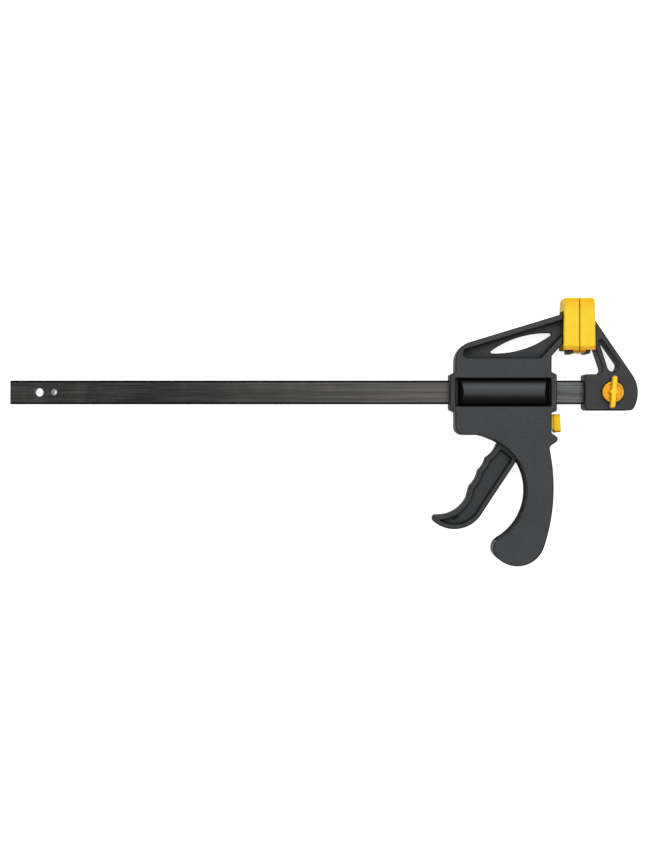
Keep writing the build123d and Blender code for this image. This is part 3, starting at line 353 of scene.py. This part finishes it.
knob_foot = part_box("wing_knob")[0][2]
head_nylon = moulded_nylon("glass_filled_nylon_moulded_head", "46484a", "38393b")
jaw_nylon = moulded_nylon("glass_filled_nylon_moulded_jaw", "444547", "363739")
trigger_nylon = moulded_nylon("glass_filled_nylon_moulded_trigger", "424446", "363839")
pad_ends = [corner[1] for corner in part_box("fixed_pad")]
pad_vinyl = moulded_yellow("soft_vinyl_moulded_pads", "ffd92a", "f9c006", "d08e04", 0.5, 1.53,
                           ends=pad_ends)
knob_nylon = moulded_yellow("nylon_moulded_wing_knob", "ffdc30", "fcb80a", "b46a00", 0.42, 1.53,
                            shade_heights=[knob_foot + step * MM for step in KNOB_SHADE_HEIGHTS])
cap_acetal = moulded_yellow("acetal_moulded_release_cap", "ffcf0e", "f8b404", "b87006", 0.38, 1.48)
bar_steel = cold_drawn_bar("cold_drawn_steel_oiled_bar")
pin_steel = worked_steel("spring_steel_rolled_pins", "7d7d7e", "56524c", 0.36)
zinc_steel = worked_steel("zinc_plated_steel", "b4b7ba", "9a958c", 0.3)
screw_steel = worked_steel("black_oxide_steel_screws", "37383a", "28251f", 0.45)
plate_steel = worked_steel("hardened_steel_stamped_plates", "77777a", "544e46", 0.42)
spring_steel = worked_steel("spring_steel_drawn_wire", "83858a", "5c5852", 0.34)

FINISHES = {
    "bar": bar_steel,
    "stop_pin": pin_steel,
    "jaw_pin": pin_steel,
    "trigger_pin": pin_steel,
    "fixed_jaw": jaw_nylon,
    "front_shell": head_nylon,
    "rear_shell": head_nylon,
    "trigger": trigger_nylon,
    "fixed_pad": pad_vinyl,
    "moving_pad": pad_vinyl,
    "wing_knob": knob_nylon,
    "release_button": cap_acetal,
    "captive_nut": zinc_steel,
    "wing_washer": zinc_steel,
    "wing_stud": zinc_steel,
    "spring_washer": zinc_steel,
    "shell_screws": screw_steel,
    "drive_plate": plate_steel,
    "brake_plate": plate_steel,
    "drive_spring": spring_steel,
    "brake_spring": spring_steel,
}
for node_name, finish in FINISHES.items():
    for slot in NODES[node_name].material_slots:
        slot.material = finish


# ---- Small marks of the making ----
def pressed_mark(name, centre, radii, turn, finish, body):
    """Shallow beaded oval, in millimetres, lying on a face whose height is centre's third value.

    With s from 0 at its middle to 1 at its rim and a round it, a point lies at
    (rx s cos a, ry s sin a), turned by turn, and its height follows the profile's (s, h) pairs.
    """
    profile = np.array([(0, 0.03), (0.35, 0.03), (0.7, 0.03), (0.78, 0.09), (0.86, 0.12),
                        (0.94, 0.09), (1, 0), (1, -0.06), (0.5, -0.06), (0, -0.06)])
    around = np.linspace(0, 2 * np.pi, 64, endpoint=False)
    share, angle = np.meshgrid(profile[1:-1, 0], around, indexing="ij")
    x = radii[0] * share * np.cos(angle)
    y = radii[1] * share * np.sin(angle)
    cos, sin = math.cos(math.radians(turn)), math.sin(math.radians(turn))
    height = np.repeat(profile[1:-1, 1], around.size)
    rings = np.stack([(x * cos - y * sin).ravel(), (x * sin + y * cos).ravel(), height], axis=1)
    points = np.vstack([rings, [[0, 0, profile[0, 1]], [0, 0, profile[-1, 1]]]]) + centre
    count, last = around.size, len(profile) - 3
    step = np.arange(count)
    after = (step + 1) % count
    faces = [(len(points) - 2, a, b) for a, b in zip(step, after)]
    for ring in range(last):
        at = ring * count
        faces += [(at + a, at + count + a, at + count + b, at + b) for a, b in zip(step, after)]
    faces += [(len(points) - 1, last * count + b, last * count + a) for a, b in zip(step, after)]
    mesh = bpy.data.meshes.new(name)
    mesh.from_pydata((points * MM).tolist(), [], [tuple(int(v) for v in face) for face in faces])
    mesh.materials.append(finish)
    mesh.shade_smooth()
    mark = bpy.data.objects.new(name, mesh)
    bpy.context.scene.collection.objects.link(mark)
    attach(mark, body)
    return mark


pressed_mark("trigger_ejector_mark", (100.8, -64.9, TRIGGER_WEB_Z), (2.9, 1.2), 28,
             trigger_nylon, "trigger_lever")
pressed_mark("bar_punch_mark", (-194.8, 30.5, BAR_FACE_Z), (2.4, 2.4), 0, bar_steel, "bar_and_jaw")


# ---- Stage ----
def make_floor():
    """Level square floor that passes smoothly under the clamp: z is constant over x and y."""
    lines = FLOOR_CELLS + 1
    side = np.linspace(-FLOOR_HALF, FLOOR_HALF, lines)
    x, y = np.meshgrid(side, side)
    points = np.stack([x.ravel(), y.ravel(), np.full(x.size, FLOOR_Z)], axis=1)
    row, column = np.meshgrid(np.arange(FLOOR_CELLS), np.arange(FLOOR_CELLS), indexing="ij")
    first = (row * lines + column).ravel()
    faces = np.stack([first, first + 1, first + lines + 1, first + lines], axis=1)
    mesh = bpy.data.meshes.new("floor")
    mesh.from_pydata(points.tolist(), [], faces.tolist())
    floor = bpy.data.objects.new("floor", mesh)
    bpy.context.scene.collection.objects.link(floor)
    return floor


def seen_directly(tree):
    """1 for rays that show the backdrop itself: from the camera, off gloss, or through glass."""
    path = add(tree, "ShaderNodeLightPath").node
    gloss = add(tree, MATH, (path.outputs["Is Camera Ray"], path.outputs["Is Glossy Ray"]),
                operation="MAXIMUM")
    return add(tree, MATH, (gloss, path.outputs["Is Transmission Ray"]), operation="MAXIMUM")


def paper_floor():
    """Matt white paper sweep, bright in itself to the eye, and still dimmed under the clamp."""
    material, tree = new_material("white_paper_sweep")
    where = add(tree, PLACE, out="Object")
    fibre = add(tree, NOISE, {"Vector": where, "Scale": per(40), "Detail": 4, "Roughness": 0.55})
    patch = add(tree, RANGE, (fibre, 0.3, 0.7, 0, 0.3))
    sheet = add(tree, MIX, {0: patch, 6: linear("e9e9e9"), 7: linear("e4e4e4")}, **COLOURS)
    matt = add(tree, "ShaderNodeBsdfDiffuse", {"Color": sheet})
    power = add(tree, MATH, (seen_directly(tree), 0.78), **TIMES)
    glow = add(tree, "ShaderNodeEmission", {"Color": linear("ffffff"), "Strength": power})
    both = add(tree, "ShaderNodeAddShader", (matt, glow))
    add(tree, SURFACE, (both,), out=None)
    return material


floor = make_floor()
floor.data.materials.append(paper_floor())


def white_room(ambient):
    """World that lights the clamp softly and shows as plain white behind it."""
    world = bpy.data.worlds.new("white_room")
    world.use_nodes = True
    tree = world.node_tree
    tree.nodes.clear()
    strength = add(tree, RANGE, (seen_directly(tree), 0, 1, ambient, 1.0))
    sky = add(tree, "ShaderNodeBackground", {"Color": linear("ffffff"), "Strength": strength})
    add(tree, "ShaderNodeOutputWorld", (sky,), out=None)
    bpy.context.scene.world = world


def softbox(name, place, aim, side, power):
    """Square soft lamp at a place, facing a point."""
    data = bpy.data.lights.new(name, "AREA")
    data.shape = "SQUARE"
    data.size = side
    data.energy = power
    lamp = bpy.data.objects.new(name, data)
    lamp.location = place
    toward = np.array(aim, float) - np.array(place, float)
    tilt = math.atan2(math.hypot(toward[0], toward[1]), -toward[2])
    turn = math.atan2(toward[0], -toward[1]) + math.pi
    lamp.rotation_euler = (tilt, 0, turn)
    bpy.context.scene.collection.objects.link(lamp)
    return lamp


white_room(0.42)
softbox("key_softbox", (0.45, 0.75, 1.7), (0, 0, 0), 1.1, 15.5)
softbox("top_softbox", (-0.5, -0.1, 1.9), (0, 0, 0), 1.3, 7)


# ---- Camera ----
def make_camera():
    """Camera that looks straight down at the clamp lying on its side."""
    data = bpy.data.cameras.new("camera")
    data.sensor_width = 36
    data.lens = 71.33
    data.clip_start = 0.05
    data.clip_end = 20
    camera = bpy.data.objects.new("camera", data)
    camera.location = (0.625 * MM, -0.15 * MM, 1313.5 * MM)
    bpy.context.scene.collection.objects.link(camera)
    bpy.context.scene.camera = camera


make_camera()
bpy.context.scene.view_settings.view_transform = "Standard"
